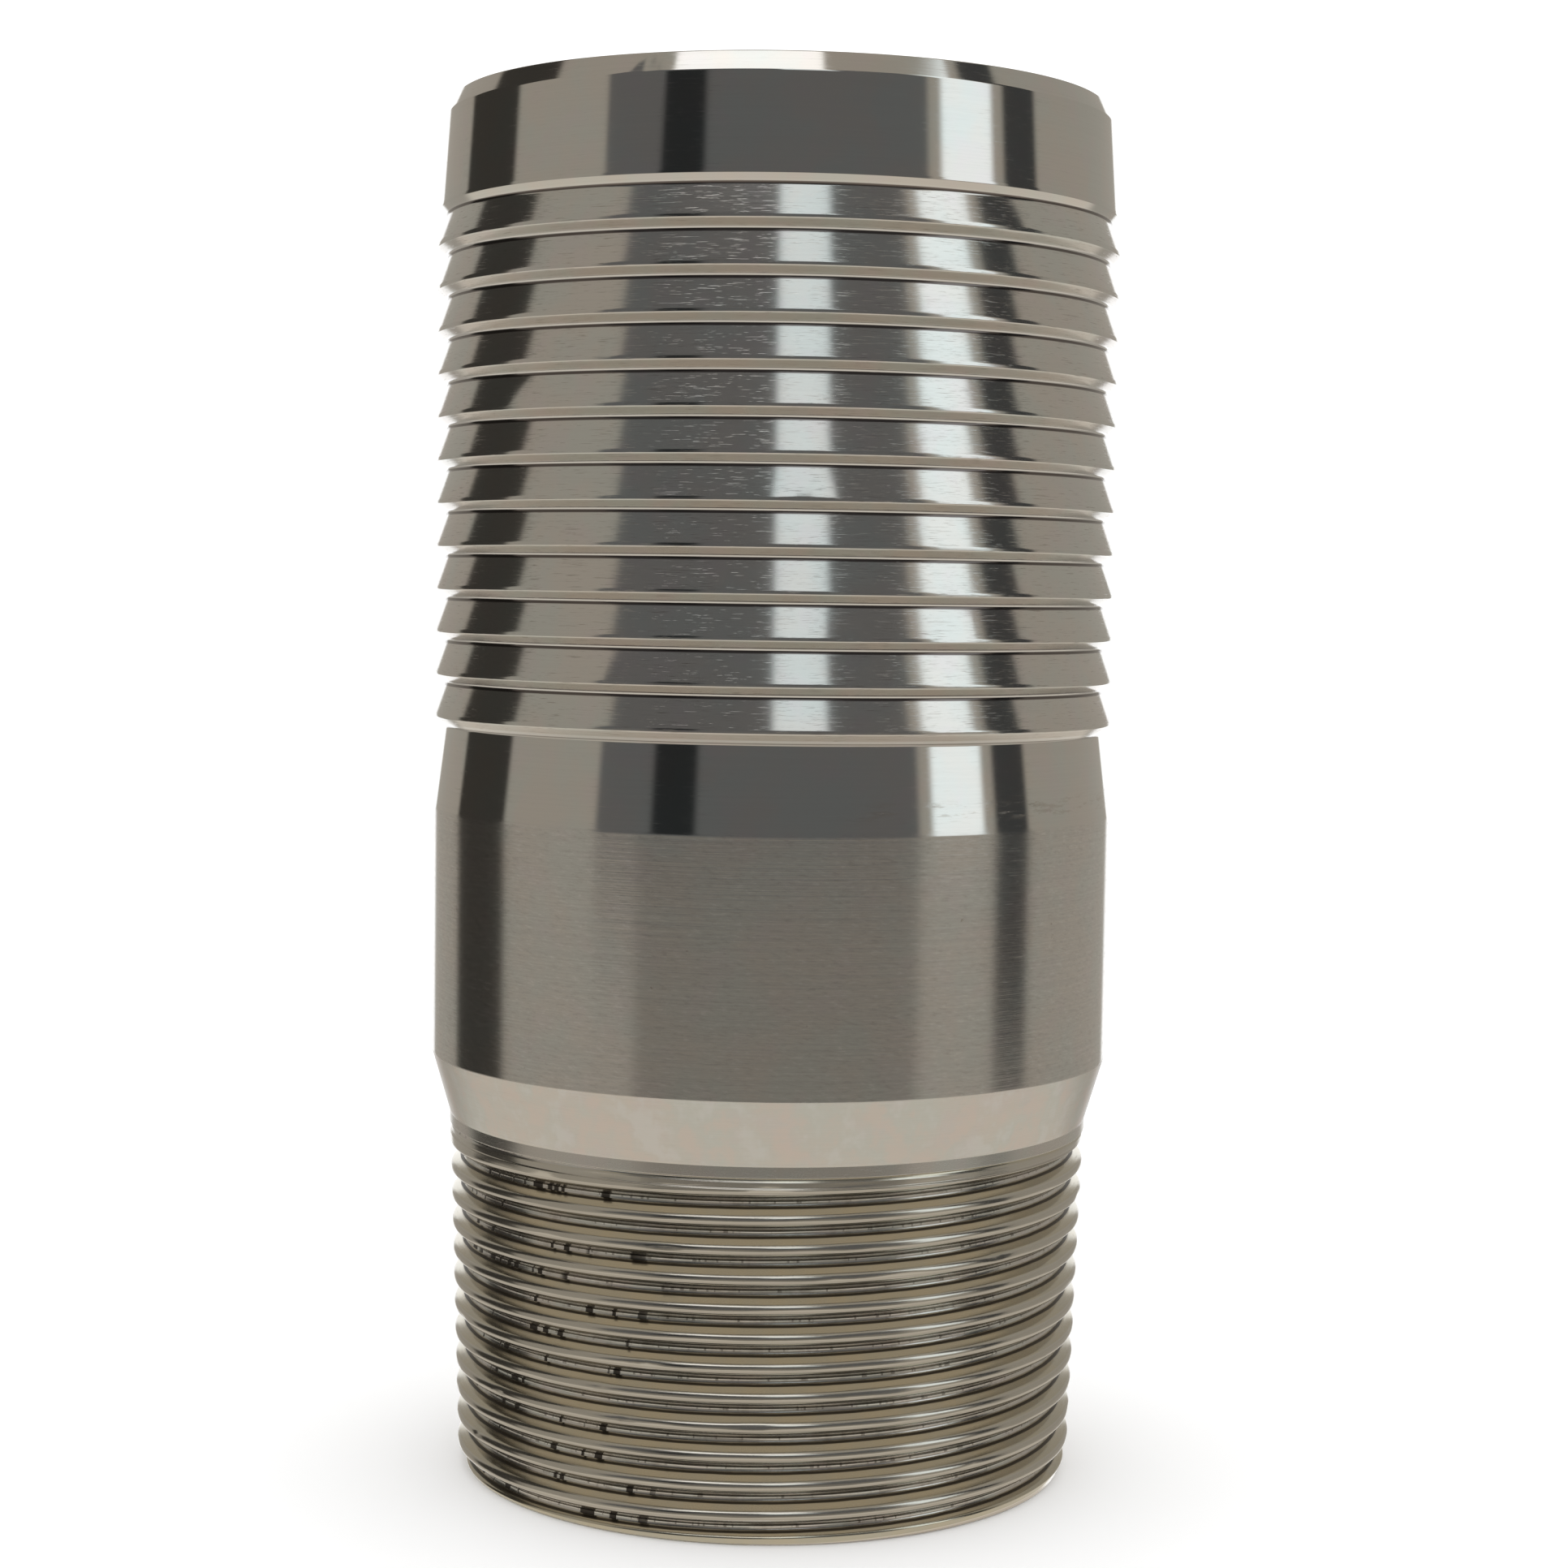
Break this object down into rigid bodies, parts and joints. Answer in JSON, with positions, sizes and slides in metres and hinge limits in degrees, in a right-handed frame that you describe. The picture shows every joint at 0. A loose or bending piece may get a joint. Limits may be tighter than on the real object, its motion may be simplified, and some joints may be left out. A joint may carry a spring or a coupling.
{
  "type": "combination hose nipple",
  "caption": "Straight through steel hose nipple: a serrated shank to push into a hose at one end and a tapered outside pipe thread at the other.",
  "frame": {"origin": "on the bore axis, in the thread end face", "axes": "+Z along the bore towards the hose end; the body is round about Z, and +X is where the thread groove's root is 2.4 mm above the end face"},
  "size_m": [0.0775, 0.0774, 0.1554],
  "materials": {
    "plated_steel": "turned steel with a thin bright zinc plating"
  },
  "bodies": {
    "root": {"combination_nipple": "plated_steel"}
  },
  "joints": []
}
